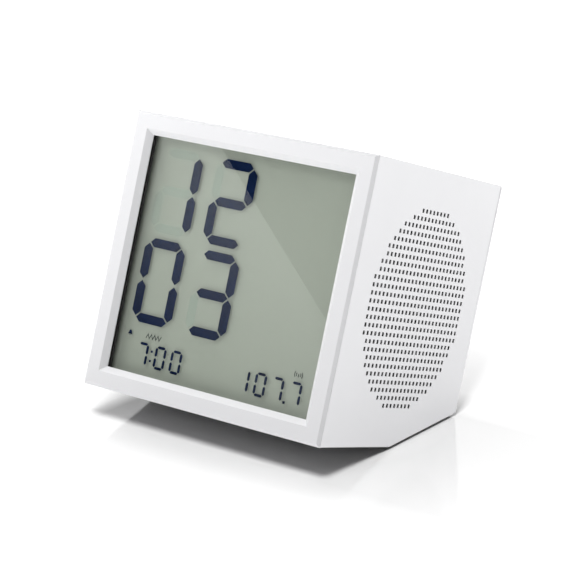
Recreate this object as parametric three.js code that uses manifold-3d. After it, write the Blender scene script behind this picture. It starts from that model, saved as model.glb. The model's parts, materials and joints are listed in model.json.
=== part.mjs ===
// Compact clock radio: a white cube that leans back on a cut lower rear corner.
//
// The case is drawn upright and square in "case space": x runs across the front, y runs
// from the display towards the back, and z runs up the front face. One turned group then
// leans the whole case back until the cut corner lies level on its rubber base pad.
// All lengths are millimetres.

import * as THREE from 'three';
import { mergeVertices } from 'three/addons/utils/BufferGeometryUtils.js';
import Module from 'manifold-3d';

const wasm = await Module();
wasm.setup();

// ---------------------------------------------------------------- driving dimensions

const CASE_SIZE = 100;            // width, height and depth of the cube
const HALF = CASE_SIZE / 2;
const WALL = 2.2;                 // moulded wall thickness
const GAP = 0.3;                  // clearance between neighbouring pieces
const EDGE_CHAMFER = 1.05;        // chamfer round the front face

const FACET_START = 52;           // depth at which the underside turns up into the facet
const FACET_RISE = 13;            // height of the facet's rear edge
const LEAN = Math.atan(FACET_RISE / (CASE_SIZE - FACET_START));

const BORDER = 5.9;               // flat white border round the display
const SPLAY = 2.0;                // width and depth of the border's inner bevel
const LAND = 0.4;                 // thin lip behind the inner bevel

const GRILLE_PITCH = 2.79;        // square grid of sound holes
const GRILLE_HOLE = 1.45;         // side of each square hole
const GRILLE_REACH = 13.05;       // radius of the round field, counted in pitches

const SPEAKER_SQUARE = 66;        // side of the speaker's square flange
const CELL_RADIUS = 7.1;          // AA cell
const CELL_LENGTH = 49.2;
const CELL_PITCH = 15.5;

const BUTTON_RADIUS = 4.5;
const BUTTON_PITCH = 14;
const SNOOZE = { width: 60, depth: 18, centre: 76 };

const BOARD_THICKNESS = 1.6;
const PAD_PROUD = 0.8;            // how far the base pad holds the facet off the table

// Depths of the display stack, front to back.
const LENS = [SPLAY + LAND + GAP, 3.5];
const GASKET = [LENS[1] + GAP, 4.8];
const FRONT_GLASS = [GASKET[1] + GAP, 6.0];
const REAR_GLASS = [FRONT_GLASS[1] + GAP, 7.0];
const REFLECTOR = [REAR_GLASS[1] + GAP, 7.6];
const BACKLIGHT = [REFLECTOR[1] + GAP, 11.5];
const CARRIER = [REAR_GLASS[1] + GAP, 12.7];
const DISPLAY_BOARD = [CARRIER[1] + GAP, CARRIER[1] + GAP + BOARD_THICKNESS];

// Depths at the back of the case.
const REAR_PLATE = CASE_SIZE - WALL;
const CONTROL_BOARD = [88, 88 + BOARD_THICKNESS];

const MIDDLE = HALF;              // height of the display's and the speaker's centre
const SHELL_FRONT = EDGE_CHAMFER + GAP;
const SHELL_BACK = REAR_PLATE - GAP;
const SKIN = HALF - WALL;         // inner face of the side walls

// ---------------------------------------------------------------- solid helpers

function solidOf(geometry) {
  const bare = geometry.clone();
  bare.deleteAttribute('normal');
  bare.deleteAttribute('uv');
  const shared = mergeVertices(bare, 1e-4);
  return new wasm.Manifold(new wasm.Mesh({
    numProp: 3,
    vertProperties: new Float32Array(shared.getAttribute('position').array),
    triVerts: new Uint32Array(shared.index.array),
  }));
}

function geometryOf(solid) {
  const { vertProperties, triVerts } = solid.getMesh();
  const geometry = new THREE.BufferGeometry();
  geometry.setAttribute('position', new THREE.BufferAttribute(vertProperties, 3));
  geometry.setIndex(new THREE.BufferAttribute(triVerts, 1));
  return geometry;
}

function join(first, ...others) {
  return geometryOf(others.reduce((sum, next) => sum.add(solidOf(next)), solidOf(first)));
}

function cut(first, ...tools) {
  return geometryOf(tools.reduce((rest, tool) => rest.subtract(solidOf(tool)), solidOf(first)));
}

function overlapOf(first, second) {
  return geometryOf(solidOf(first).intersect(solidOf(second)));
}

// ---------------------------------------------------------------- shape helpers

function box([x0, x1], [y0, y1], [z0, z1]) {
  const geometry = new THREE.BoxGeometry(x1 - x0, y1 - y0, z1 - z0);
  return geometry.translate((x0 + x1) / 2, (y0 + y1) / 2, (z0 + z1) / 2);
}

// A span of a given width about a centre.
function span(centre, width) {
  return [centre - width / 2, centre + width / 2];
}

// A square plate facing forwards, centred on the display.
function squarePlate(half, depths) {
  return box([-half, half], depths, span(MIDDLE, 2 * half));
}

function squareRing(outerHalf, innerHalf, depths) {
  const through = [depths[0] - 1, depths[1] + 1];
  return cut(squarePlate(outerHalf, depths), squarePlate(innerHalf, through));
}

// A solid turned about the y axis from [radius, y] points that run up the outside.
function turned(profile, sides = 24) {
  return new THREE.LatheGeometry(profile.map(([r, y]) => new THREE.Vector2(r, y)), sides);
}

function disc(radius, [y0, y1], sides = 24) {
  return turned([[0, y0], [radius, y0], [radius, y1], [0, y1]], sides);
}

function washer(outer, inner, [y0, y1], sides = 24) {
  return turned([[inner, y0], [outer, y0], [outer, y1], [inner, y1], [inner, y0]], sides);
}

// Turn a solid made about the y axis so that it points along +x or +z instead.
function alongX(geometry) {
  return geometry.rotateZ(-Math.PI / 2);
}

function alongZ(geometry) {
  return geometry.rotateX(Math.PI / 2);
}

// Extrude an outline given as [y, z] points across the case, from x0 to x1.
function crossSection(points, [x0, x1]) {
  const shape = new THREE.Shape(points.map(([y, z]) => new THREE.Vector2(y, z)));
  const geometry = new THREE.ExtrudeGeometry(shape, { depth: x1 - x0, bevelEnabled: false });
  geometry.rotateY(Math.PI / 2).rotateX(Math.PI / 2);
  return geometry.translate(x0, 0, 0);
}

// A bar of round section along a smooth curve through the points.
function tubeThrough(points, radius, steps, sides = 8) {
  const section = new THREE.Shape();
  for (let i = 0; i < sides; i += 1) {
    const angle = (2 * Math.PI * i) / sides;
    const corner = [radius * Math.cos(angle), radius * Math.sin(angle)];
    if (i === 0) section.moveTo(...corner);
    else section.lineTo(...corner);
  }
  const path = new THREE.CatmullRomCurve3(points.map((p) => new THREE.Vector3(...p)));
  return new THREE.ExtrudeGeometry(section, { steps, extrudePath: path, bevelEnabled: false });
}

// ---------------------------------------------------------------- materials

function material(color, roughness, metalness = 0) {
  return () => new THREE.MeshStandardMaterial({ color, roughness, metalness });
}

const whitePlastic = material(0xe9e9ec, 0.45);
const keyPlastic = material(0xdfe0e4, 0.4);
const blackPlastic = material(0x18181b, 0.55);
const rubber = material(0x2c2c2f, 0.85);
const foam = material(0x151517, 0.95);
const clearSheet = material(0xdfe6e4, 0.05);
const displayGlass = material(0xaab3a6, 0.1);
const reflectorFilm = material(0x9da699, 0.35);
const lightGuide = material(0xf2f4ee, 0.3);
const circuitBoard = material(0x1e6b3c, 0.5);
const chipEpoxy = material(0x121214, 0.4);
const tinPlate = material(0xc4c7ca, 0.3, 1);
const darkFerrite = material(0x3b3b3f, 0.7, 0.2);
const springSteel = material(0xb9bcc0, 0.25, 1);
const paperCone = material(0x2a2927, 0.95);
const cellJacket = material(0x3f5f86, 0.35);
const redWire = material(0xb3261e, 0.5);
const blackWire = material(0x1b1b1d, 0.5);
const ribbonPlastic = material(0xbfc3c8, 0.5);

// ---------------------------------------------------------------- the scene graph

const radio = new THREE.Group();
const leaning = new THREE.Group();
radio.add(leaning);

function place(name, geometry, makeMaterial, position = [0, 0, 0], parent = leaning) {
  const mesh = new THREE.Mesh(geometry, makeMaterial());
  mesh.name = name;
  mesh.position.set(...position);
  parent.add(mesh);
  return mesh;
}

// ---------------------------------------------------------------- case

function facetHeight(depth) {
  return (depth - FACET_START) * Math.tan(LEAN);
}

// Outline of the case seen from the side, between two depths.
function caseOutline(front, back) {
  return [
    [front, 0],
    [FACET_START, 0],
    [back, facetHeight(back)],
    [back, CASE_SIZE],
    [front, CASE_SIZE],
  ];
}

// The same outline moved inwards by the wall, and left running out at both ends.
function hollowOutline() {
  const slope = Math.tan(LEAN);
  const turn = FACET_START - WALL * Math.tan(LEAN / 2);
  const back = CASE_SIZE + WALL;
  return [
    [-WALL, WALL],
    [turn, WALL],
    [back, WALL + (back - turn) * slope],
    [back, CASE_SIZE - WALL],
    [-WALL, CASE_SIZE - WALL],
  ];
}

// Bezel: a mitred square ring with a chamfered outer edge, a splayed inner bevel, a thin
// lip, and a skirt that plugs into the shell.
function makeBezel() {
  const inner = HALF - BORDER - SPLAY;
  const skirt = SKIN - GAP;
  const rebate = skirt - 1.8;
  const corner = Math.SQRT2;
  const ring = [
    [HALF - BORDER, 0],
    [HALF - EDGE_CHAMFER, 0],
    [HALF, EDGE_CHAMFER],
    [skirt, EDGE_CHAMFER],
    [skirt, 9],
    [rebate, 9],
    [rebate, SPLAY + LAND],
    [inner, SPLAY + LAND],
    [inner, SPLAY],
    [HALF - BORDER, 0],
  ];
  const points = ring.map(([half, y]) => new THREE.Vector2(half * corner, y));
  const frame = new THREE.LatheGeometry(points, 4).rotateY(Math.PI / 4);
  place('front_bezel', frame, whitePlastic, [0, 0, MIDDLE]);
}

// Case screws: each boss hangs on a rib from the nearest wall.
const UPPER_RIB = [92, SKIN + MIDDLE + 0.7];
const LOWER_RIB = [facetHeight(SHELL_BACK) + GAP, 22];
const SCREW_SPOTS = [
  { x: -43, z: 92, rib: UPPER_RIB },
  { x: 43, z: 92, rib: UPPER_RIB },
  { x: -43, z: 22, rib: LOWER_RIB },
  { x: 43, z: 22, rib: LOWER_RIB },
];
const BOSS = { radius: 3.4, hole: 1.4, depths: [90.5, SHELL_BACK] };

// Shell: top, left side, underside and facet in one moulding, with four screw bosses.
function makeShell() {
  const outer = crossSection(caseOutline(SHELL_FRONT, SHELL_BACK), [-HALF, SKIN - GAP]);
  const hollow = crossSection(hollowOutline(), [-SKIN, HALF]);
  const snoozeSlot = box(
    span(0, SNOOZE.width + 2 * GAP),
    span(SNOOZE.centre, SNOOZE.depth + 2 * GAP),
    [SKIN + MIDDLE - 1, CASE_SIZE + 1],
  );
  const bosses = SCREW_SPOTS.flatMap(({ x, z, rib }) => [
    disc(BOSS.radius, BOSS.depths, 16).translate(x, 0, z),
    box(span(x, 2.4), BOSS.depths, rib),
  ]);
  const threads = SCREW_SPOTS.map(({ x, z }) => (
    disc(BOSS.hole, [BOSS.depths[0] + 1.5, SHELL_BACK + 1], 12).translate(x, 0, z)
  ));
  const walls = cut(outer, hollow, snoozeSlot, padRecess());
  place('case_shell', cut(join(walls, ...bosses), ...threads), whitePlastic);
}

// Base pad, level under the facet, in a shallow recess of the shell.
const PAD = { width: 88, length: 40, inset: 3.4, recess: 0.9 };

function padRecess() {
  const pocket = box(
    span(0, PAD.width + 2 * GAP),
    [PAD.inset - GAP, PAD.inset + PAD.length + GAP],
    [-1, PAD.recess],
  );
  return pocket.rotateX(LEAN).translate(0, FACET_START, 0);
}

function makeBasePad() {
  const pad = box(
    span(0, PAD.width),
    [PAD.inset, PAD.inset + PAD.length],
    [-PAD_PROUD, PAD.recess - GAP],
  );
  place('base_pad', pad.rotateX(LEAN), rubber, [0, FACET_START, 0]);
}

// Right-hand side wall: the round field of square sound holes, and the speaker's bosses.
const SPEAKER_BOLT = 28.3;        // corner screws, each way from the speaker's centre

function grilleHoles() {
  const holes = [];
  const count = Math.floor(GRILLE_REACH);
  for (let row = -count; row < count; row += 1) {
    for (let column = -count; column < count; column += 1) {
      const across = column + 0.5;
      const up = row + 0.5;
      if (Math.hypot(across, up) <= GRILLE_REACH) {
        holes.push([HALF + across * GRILLE_PITCH, MIDDLE + up * GRILLE_PITCH]);
      }
    }
  }
  return holes;
}

function squareHole([y, z]) {
  return box([SKIN - 1, HALF + 1], span(y, GRILLE_HOLE), span(z, GRILLE_HOLE));
}

function speakerCorners() {
  return [[-1, -1], [1, -1], [1, 1], [-1, 1]]
    .map(([a, b]) => [HALF + a * SPEAKER_BOLT, MIDDLE + b * SPEAKER_BOLT]);
}

function makeGrillePanel() {
  const wall = crossSection(caseOutline(SHELL_FRONT, SHELL_BACK), [SKIN, HALF]);
  const holes = grilleHoles().map(squareHole);
  const bosses = speakerCorners().map(([y, z]) => (
    alongX(disc(2.6, [46.1, SKIN + 0.5], 12)).translate(0, y, z)
  ));
  const threads = speakerCorners().map(([y, z]) => (
    alongX(disc(1.3, [45, SKIN + 0.9], 8)).translate(0, y, z)
  ));
  place('grille_panel', cut(join(wall, ...bosses), ...threads, ...holes), whitePlastic);
}

// ---------------------------------------------------------------- rear cover and door

const BATTERY_BAY = { x: [-30.5, 30.5], y: 80, z: [22, 56], wall: 1.5 };
const DOOR = { x: [-31.5, 31.5], z: [20.5, 57.5], seat: 98.3 };
const BUTTON_ROW = { first: -36, z: 83 };
const BUTTON_NAMES = [
  'time_button',
  'alarm_button',
  'preset_button',
  'tune_down_button',
  'tune_up_button',
];
const SWITCH = { x: -31, z: 70, slot: [15, 4.6], knob: [6, 3.6], travel: 8 };
const WHEEL = { x: 38, y: 93, z: 76, radius: 9, thickness: 4 };
const AERIAL = { x: 10, z: 68, radius: 2.6 };

function buttonX(index) {
  return BUTTON_ROW.first + index * BUTTON_PITCH;
}

function makeRearCover() {
  const everything = box([-HALF, HALF], [REAR_PLATE, CASE_SIZE], [-1, CASE_SIZE]);
  const plate = overlapOf(crossSection(caseOutline(0, CASE_SIZE), [-HALF, HALF]), everything);
  const bay = box(BATTERY_BAY.x, [BATTERY_BAY.y, REAR_PLATE + 0.5], BATTERY_BAY.z);
  const tabs = [
    box([-25, 25], [93, REAR_PLATE + 0.5], [95.6, SKIN + MIDDLE - GAP]),
    box([-SKIN + GAP, -SKIN + GAP + 1.5], [93, REAR_PLATE + 0.5], [34, 80]),
    box([SKIN - GAP - 1.5, SKIN - GAP], [93, REAR_PLATE + 0.5], [34, 80]),
  ];
  const inBay = (range, wall) => [range[0] + wall, range[1] - wall];
  const through = [REAR_PLATE - 1, CASE_SIZE + 1];
  const openings = [
    box(
      inBay(BATTERY_BAY.x, BATTERY_BAY.wall),
      [BATTERY_BAY.y + BATTERY_BAY.wall, CASE_SIZE + 1],
      inBay(BATTERY_BAY.z, BATTERY_BAY.wall),
    ),
    box(DOOR.x, [DOOR.seat, CASE_SIZE + 1], DOOR.z),
    box(span(SWITCH.x, SWITCH.slot[0]), through, span(SWITCH.z, SWITCH.slot[1])),
    box(span(WHEEL.x, WHEEL.thickness + 1.2), through, span(WHEEL.z, 17)),
    disc(AERIAL.radius, through, 16).translate(AERIAL.x, 0, AERIAL.z),
    ...BUTTON_NAMES.map((name, i) => (
      disc(BUTTON_RADIUS + GAP, through, 24).translate(buttonX(i), 0, BUTTON_ROW.z)
    )),
    ...SCREW_SPOTS.flatMap(({ x, z }) => [
      disc(1.7, through, 12).translate(x, 0, z),
      disc(3.2, [99, CASE_SIZE + 1], 16).translate(x, 0, z),
    ]),
  ];
  place('rear_cover', cut(join(plate, bay, ...tabs), ...openings), whitePlastic);
}

function makeBatteryDoor() {
  const inset = (range) => [range[0] + GAP, range[1] - GAP];
  const plate = box(inset(DOOR.x), [DOOR.seat + GAP, CASE_SIZE - 0.05], inset(DOOR.z));
  const grip = disc(9, [CASE_SIZE - 0.7, CASE_SIZE + 1], 32).translate(0, 0, 50);
  const gripLimit = box([-9, 9], [CASE_SIZE - 0.7, CASE_SIZE + 1], [41, 50]);
  const scoop = overlapOf(grip, gripLimit);
  place('battery_door', cut(plate, scoop), whitePlastic);
}

// A cross-headed screw lying along y, its head at the top.
function screw(headRadius, headHeight, shankRadius, length) {
  const body = turned([
    [0, -length], [shankRadius, -length], [shankRadius, 0],
    [headRadius, 0], [headRadius, headHeight], [0, headHeight],
  ], 16);
  const slot = headRadius * 1.3;
  const deep = [headHeight * 0.45, headHeight + 1];
  return cut(body, box(span(0, slot), deep, span(0, 0.5)), box(span(0, 0.5), deep, span(0, slot)));
}

function makeRearScrews() {
  SCREW_SPOTS.forEach(({ x, z }, i) => {
    place(`rear_screw_${i + 1}`, screw(2.8, 0.65, 1.1, 6.5), tinPlate, [x, 99 + GAP, z]);
  });
}

// ---------------------------------------------------------------- controls

// Snooze bar: flush with the top, kept in by a flange under the wall.
function makeSnoozeBar() {
  const top = CASE_SIZE - 0.1;
  const under = SKIN + MIDDLE;
  const bar = join(
    box(span(0, SNOOZE.width), span(SNOOZE.centre, SNOOZE.depth), [under - 1.5, top]),
    box(span(0, SNOOZE.width + 4), span(SNOOZE.centre, SNOOZE.depth + 4), [under - 2, under - 0.5]),
    box(span(0, 6), [83, 87], [94.2, under - 1]),
  );
  place('snooze_bar', bar, keyPlastic);
  const housing = box(span(0, 6.2), [83.5, CONTROL_BOARD[0] - GAP], [88, 92.2]);
  const plunger = alongZ(disc(1.4, [92, 92.8], 12)).translate(0, 85.4, 0);
  place('snooze_switch', join(housing, plunger), blackPlastic);
}

// Rear setting buttons: cap, retaining flange and stem, over one silicone mat.
function makeButtons() {
  const stem = 93.5;
  const flange = [95.9, 97.2];
  BUTTON_NAMES.forEach((name, i) => {
    const button = turned([
      [0, stem], [2, stem], [2, flange[0]], [6, flange[0]], [6, flange[1]],
      [BUTTON_RADIUS, flange[1]], [BUTTON_RADIUS, 100.2], [BUTTON_RADIUS - 0.4, 100.6], [0, 100.6],
    ]);
    place(name, button, keyPlastic, [buttonX(i), 0, BUTTON_ROW.z]);
  });
  const mat = box(
    [buttonX(0) - 5.5, buttonX(BUTTON_NAMES.length - 1) + 5.5],
    [CONTROL_BOARD[1] + GAP, 91],
    span(BUTTON_ROW.z, 10),
  );
  const domes = BUTTON_NAMES.map((name, i) => (
    turned([[0, 90.5], [3.6, 90.5], [3.6, 91], [2.4, 92.2], [0, 92.2]], 16)
      .translate(buttonX(i), 0, BUTTON_ROW.z)
  ));
  place('keypad_mat', join(mat, ...domes), rubber);
}

// Three-position mode switch: a body on the board and a ridged knob in the cover's slot.
function makeModeSwitch() {
  const body = box(span(SWITCH.x, 17), [CONTROL_BOARD[1] + GAP, 94.6], span(SWITCH.z, 7));
  place('mode_switch_body', body, tinPlate);
  const start = SWITCH.x - SWITCH.travel / 2;
  const knob = box(span(start, SWITCH.knob[0]), [94.9, 100.9], span(SWITCH.z, SWITCH.knob[1]));
  const ridges = [-1.6, 0, 1.6].map((shift) => (
    box(span(start + shift, 0.6), [100.4, 102], span(SWITCH.z, 5))
  ));
  place('mode_switch_knob', cut(knob, ...ridges), blackPlastic);
}

// Volume: a knurled thumbwheel on the potentiometer's shaft.
function makeVolumeControl() {
  const half = WHEEL.thickness / 2;
  const flutes = 30;
  const outline = new THREE.Shape();
  for (let i = 0; i < 2 * flutes; i += 1) {
    const radius = i % 2 === 0 ? WHEEL.radius : WHEEL.radius - 0.45;
    const angle = (Math.PI * i) / flutes;
    const corner = [radius * Math.cos(angle), radius * Math.sin(angle)];
    if (i === 0) outline.moveTo(...corner);
    else outline.lineTo(...corner);
  }
  const blank = new THREE.ExtrudeGeometry(outline, { depth: WHEEL.thickness, bevelEnabled: false });
  blank.rotateY(Math.PI / 2).translate(-half, 0, 0);
  const bore = alongX(disc(1.9, [-half - 1, half - 1], 16));
  place('volume_wheel', cut(blank, bore), blackPlastic, [WHEEL.x, WHEEL.y, WHEEL.z]);
  const can = box([30.5, 34.5], [WHEEL.y - 3.2, WHEEL.y + 3.2], span(WHEEL.z, 10));
  const shaft = alongX(disc(1.5, [34, WHEEL.x + half - 1.6], 16)).translate(0, WHEEL.y, WHEEL.z);
  place('volume_pot', join(can, shaft), tinPlate);
}

// Grommet that closes the aerial wire's hole.
function makeAerialGrommet() {
  const lip = AERIAL.radius + 1.1;
  const groove = AERIAL.radius - GAP;
  const grommet = turned([
    [0, 96.4], [lip, 96.4], [lip, REAR_PLATE - GAP], [groove, REAR_PLATE - GAP],
    [groove, CASE_SIZE + GAP], [lip, CASE_SIZE + GAP], [lip - 0.5, 101.1], [0.7, 101.1],
    [0.7, 98.5], [0, 98.5],
  ], 16);
  place('aerial_grommet', grommet, rubber, [AERIAL.x, 0, AERIAL.z]);
}

function makeControlBoard() {
  const board = box([-46, 31], CONTROL_BOARD, [62, 93]);
  place('control_board', board, circuitBoard);
  const front = CONTROL_BOARD[0] - GAP;
  place('tuner_shield', box([-42, -20], [front - 7, front], [66, 86]), tinPlate);
  place('audio_chip', box([-12, -2], [front - 2.4, front], [68, 78]), chipEpoxy);
  const can = disc(4, [front - 11, front], 20);
  place('smoothing_capacitor', can, cellJacket, [14, 0, 84]);
}

// ---------------------------------------------------------------- display

function makeDisplay() {
  const window = HALF - BORDER - SPLAY;
  const skirtInside = SKIN - GAP - 1.8;
  const stack = skirtInside - 0.7;
  place('display_lens', squarePlate(stack, LENS), clearSheet);
  place('display_gasket', squareRing(stack, window + 0.3, GASKET), foam);
  place('lcd_front_glass', squarePlate(stack - 0.3, FRONT_GLASS), displayGlass);
  place('lcd_rear_glass', squarePlate(stack - 0.3, REAR_GLASS), displayGlass);
  place('lcd_carrier', squareRing(skirtInside - GAP, 43.8, CARRIER), blackPlastic);
  const width = [-42.6, 42.6];
  place('lcd_reflector', box(width, REFLECTOR, span(MIDDLE, 82)), reflectorFilm);
  place('backlight_panel', box([-41, 41], BACKLIGHT, span(MIDDLE, 82)), lightGuide);
  place('backlight_led', box([41.4, 43.2], [9, 11], span(MIDDLE, 20)), clearSheet);
  [['zebra_strip_top', 1], ['zebra_strip_bottom', -1]].forEach(([name, side]) => {
    place(name, box([-38, 38], CARRIER, span(MIDDLE + side * 42.5, 1.8)), foam);
  });
  place('display_board', squarePlate(skirtInside - GAP, DISPLAY_BOARD), circuitBoard);
  const back = DISPLAY_BOARD[1] + GAP;
  place('display_chip', box([-9, 9], [back, back + 2], span(MIDDLE, 18)), chipEpoxy);
}

// ---------------------------------------------------------------- speaker

// The speaker fires along +x through the grille. Its pieces are turned about their own
// y axis, then laid along x at the middle of the right-hand wall.
function speakerPiece(name, geometry, makeMaterial) {
  place(name, alongX(geometry), makeMaterial, [0, HALF, MIDDLE]);
}

function makeSpeaker() {
  const flange = [44.6, 45.8];
  const half = SPEAKER_SQUARE / 2;
  const plate = box([-half, half], flange, [-half, half]);
  const mouth = disc(29, [flange[0] - 1, flange[1] + 1], 32);
  const bolts = [[-1, -1], [1, -1], [1, 1], [-1, 1]].map(([a, b]) => (
    disc(1.7, [flange[0] - 1, flange[1] + 1], 12).translate(a * SPEAKER_BOLT, 0, b * SPEAKER_BOLT)
  ));
  const bowl = turned([
    [9, 32], [17, 32], [30, flange[0] + 0.4], [28.6, flange[0] + 0.4], [16.4, 33.2], [9, 33.2], [9, 32],
  ], 32);
  const windows = [0, 1, 2, 3].map((quarter) => (
    box([-7, 7], [34.5, 42.5], [12, 34]).rotateY((quarter * Math.PI) / 2)
  ));
  const basket = join(cut(plate, mouth, ...bolts), cut(bowl, ...windows));
  speakerPiece('speaker_basket', basket, tinPlate);
  speakerPiece('speaker_gasket', washer(32.4, 29.4, [46.1, SKIN - GAP], 32), foam);
  speakerPiece('speaker_surround', turned([
    [23.5, 44.2], [27.4, 44.2], [28.1, 45], [27.2, 46], [25.6, 46.5], [24.2, 45.9],
    [23.5, 44.9], [23.5, 44.2],
  ], 32), rubber);
  speakerPiece('speaker_cone', turned([
    [7.2, 38], [8, 38], [23.2, 43.9], [23.2, 44.7], [7.2, 38.8], [7.2, 38],
  ], 32), paperCone);
  speakerPiece('speaker_dust_cap', turned([
    [0, 40.2], [7.2, 39.1], [7.9, 39.9], [6, 41.2], [3, 42], [0, 42.3],
  ], 24), paperCone);
  speakerPiece('speaker_top_plate', washer(16, 7.4, [28.7, 31.7], 28), tinPlate);
  speakerPiece('speaker_magnet', washer(15.4, 9, [20.4, 28.4], 28), darkFerrite);
  speakerPiece('speaker_yoke', turned([
    [0, 17.2], [15.4, 17.2], [15.4, 20.1], [6.2, 20.1], [6.2, 31.7], [0, 31.7],
  ], 28), tinPlate);
  speakerCorners().forEach(([y, z], i) => {
    const piece = alongX(screw(2.6, 1.5, 0.95, 4).rotateX(Math.PI));
    place(`speaker_screw_${i + 1}`, piece, tinPlate, [flange[0] - GAP, y, z]);
  });
}

// ---------------------------------------------------------------- batteries and wires

function makeBatteries() {
  [-1, 1].forEach((side, i) => {
    const z = (BATTERY_BAY.z[0] + BATTERY_BAY.z[1]) / 2 + (side * CELL_PITCH) / 2;
    const half = CELL_LENGTH / 2;
    const cell = turned([
      [0, -half], [5, -half], [5.4, -half + 0.5], [CELL_RADIUS, -half + 0.5],
      [CELL_RADIUS, half - 0.6], [2.75, half - 0.6], [2.75, half + 0.9], [0, half + 0.9],
    ], 20);
    const number = i + 1;
    const laid = alongX(cell).rotateZ(side > 0 ? Math.PI : 0);
    place(`battery_cell_${number}`, laid, cellJacket, [0, 89, z]);
    const coil = [];
    for (let turn = 0; turn <= 24; turn += 1) {
      const angle = (turn * Math.PI) / 4;
      const radius = 3.9 - turn * 0.06;
      coil.push([turn * 0.11, radius * Math.cos(angle), radius * Math.sin(angle)]);
    }
    const spring = tubeThrough(coil, 0.28, 48, 6);
    if (side > 0) spring.rotateZ(Math.PI);
    place(`battery_spring_${number}`, spring, springSteel, [side * 28.2, 89, z]);
    const plate = box([0, 0.5], [-5, 5], [-5, 5]);
    const plateX = side > 0 ? -28.6 : 28.1;
    place(`battery_contact_${number}`, plate, springSteel, [plateX, 89, z]);
  });
}

// Two leads from the speaker's terminals to the control board, side by side.
function makeLeads() {
  const board = CONTROL_BOARD[0] - GAP;
  const leads = [['speaker_lead_red', redWire, 0], ['speaker_lead_black', blackWire, 4]];
  leads.forEach(([name, look, shift]) => {
    const route = [
      [30, 68 + shift, 58 + shift],
      [22, 70 + shift, 61 + shift],
      [14, 76 + shift, 64 + shift],
      [8, 82, 66 + shift],
      [8, board, 66 + shift],
    ];
    place(name, tubeThrough(route, 0.7, 24), look);
  });
}

// Flat ribbon from the display board to the control board, with a little slack.
function makeDisplayRibbon() {
  const path = new THREE.CatmullRomCurve3([
    new THREE.Vector3(DISPLAY_BOARD[1] + GAP, 72, 0),
    new THREE.Vector3(26, 73, 0),
    new THREE.Vector3(50, 70, 0),
    new THREE.Vector3(76, 75, 0),
    new THREE.Vector3(CONTROL_BOARD[0] - GAP, 74, 0),
  ]);
  const halfThickness = 0.25;
  const along = path.getPoints(24);
  const side = (sign) => along.map((point, i) => {
    const heading = path.getTangent(i / 24);
    return [point.x - sign * heading.y * halfThickness, point.y + sign * heading.x * halfThickness];
  });
  const outline = [...side(1), ...side(-1).reverse()];
  place('display_ribbon', crossSection(outline, span(6, 12)), ribbonPlastic);
}

// ---------------------------------------------------------------- assembly

makeBezel();
makeShell();
makeBasePad();
makeGrillePanel();
makeRearCover();
makeBatteryDoor();
makeRearScrews();
makeSnoozeBar();
makeButtons();
makeModeSwitch();
makeVolumeControl();
makeAerialGrommet();
makeControlBoard();
makeDisplay();
makeSpeaker();
makeBatteries();
makeLeads();
makeDisplayRibbon();

// Lean the case back about its width, then stand it on the floor with the origin under
// the middle of its box.
leaning.rotation.x = -LEAN;
const bounds = new THREE.Box3().setFromObject(radio, true);
leaning.position.set(0, -(bounds.min.y + bounds.max.y) / 2, -bounds.min.z);
radio.updateMatrixWorld(true);

export default radio;
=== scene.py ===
import json
import math

import bmesh
import bpy
import numpy as np
from mathutils import Matrix, Vector


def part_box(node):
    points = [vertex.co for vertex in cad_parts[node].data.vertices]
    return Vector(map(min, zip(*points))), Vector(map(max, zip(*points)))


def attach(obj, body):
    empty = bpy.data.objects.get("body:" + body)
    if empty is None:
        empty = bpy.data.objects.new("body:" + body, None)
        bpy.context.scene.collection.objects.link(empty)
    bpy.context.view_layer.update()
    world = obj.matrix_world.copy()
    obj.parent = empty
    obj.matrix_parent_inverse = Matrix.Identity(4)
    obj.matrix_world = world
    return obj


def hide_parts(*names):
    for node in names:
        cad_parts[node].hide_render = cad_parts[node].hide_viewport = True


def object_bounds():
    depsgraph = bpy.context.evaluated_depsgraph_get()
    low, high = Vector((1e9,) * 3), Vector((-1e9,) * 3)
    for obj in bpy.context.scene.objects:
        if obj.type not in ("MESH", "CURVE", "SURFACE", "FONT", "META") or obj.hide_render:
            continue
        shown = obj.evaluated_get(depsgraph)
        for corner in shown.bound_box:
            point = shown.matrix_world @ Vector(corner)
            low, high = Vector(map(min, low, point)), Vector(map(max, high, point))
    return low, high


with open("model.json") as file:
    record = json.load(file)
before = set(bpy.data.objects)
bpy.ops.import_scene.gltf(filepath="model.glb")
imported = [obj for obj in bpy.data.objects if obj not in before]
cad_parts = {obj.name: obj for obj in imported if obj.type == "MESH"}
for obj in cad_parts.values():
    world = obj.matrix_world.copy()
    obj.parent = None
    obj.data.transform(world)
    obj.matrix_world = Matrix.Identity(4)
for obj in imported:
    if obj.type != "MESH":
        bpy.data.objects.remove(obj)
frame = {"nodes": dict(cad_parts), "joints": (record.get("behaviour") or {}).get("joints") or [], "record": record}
bpy.context.view_layer.update()
cad_low, cad_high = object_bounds()

# The case is described in "case space", in millimetres: x runs across the front, y from the
# display towards the back, and z up the front face. TO_ROW leans it back into the row frame.

MM = 0.001
CASE = 100.0                      # side of the cube
HALF = CASE / 2
SEAM = 0.03                       # hairline left between two case mouldings
EDGE_RADIUS = 0.9                 # soft outer edges of the case
LENS_DEPTH = 3.1                  # middle of the display window's thickness
SIDE_FACE = 47.8                  # inner face of the right-hand wall
COVER_THICKNESS = 2.2             # of the rear cover
SHARP = math.radians(40)          # edges sharper than this are eased
CAD_EASE = {"weld": 0.002, "width": 0.08}


def joint(name):
    return next(j for j in frame["joints"] if j["name"] == name)


outwards = Vector(joint("battery_door_lift")["axis"])
LEAN = math.atan2(-outwards.z, outwards.y)


def lean_frame():
    """The turn from case space to the row frame, placed by the display window."""
    turn = Matrix.Rotation(-LEAN, 4, "X")
    low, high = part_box("display_lens")
    shift = (low + high) / 2 - turn @ (Vector((0, LENS_DEPTH, HALF)) * MM)
    return Matrix.Translation(shift) @ turn @ Matrix.Scale(MM, 4)


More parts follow.
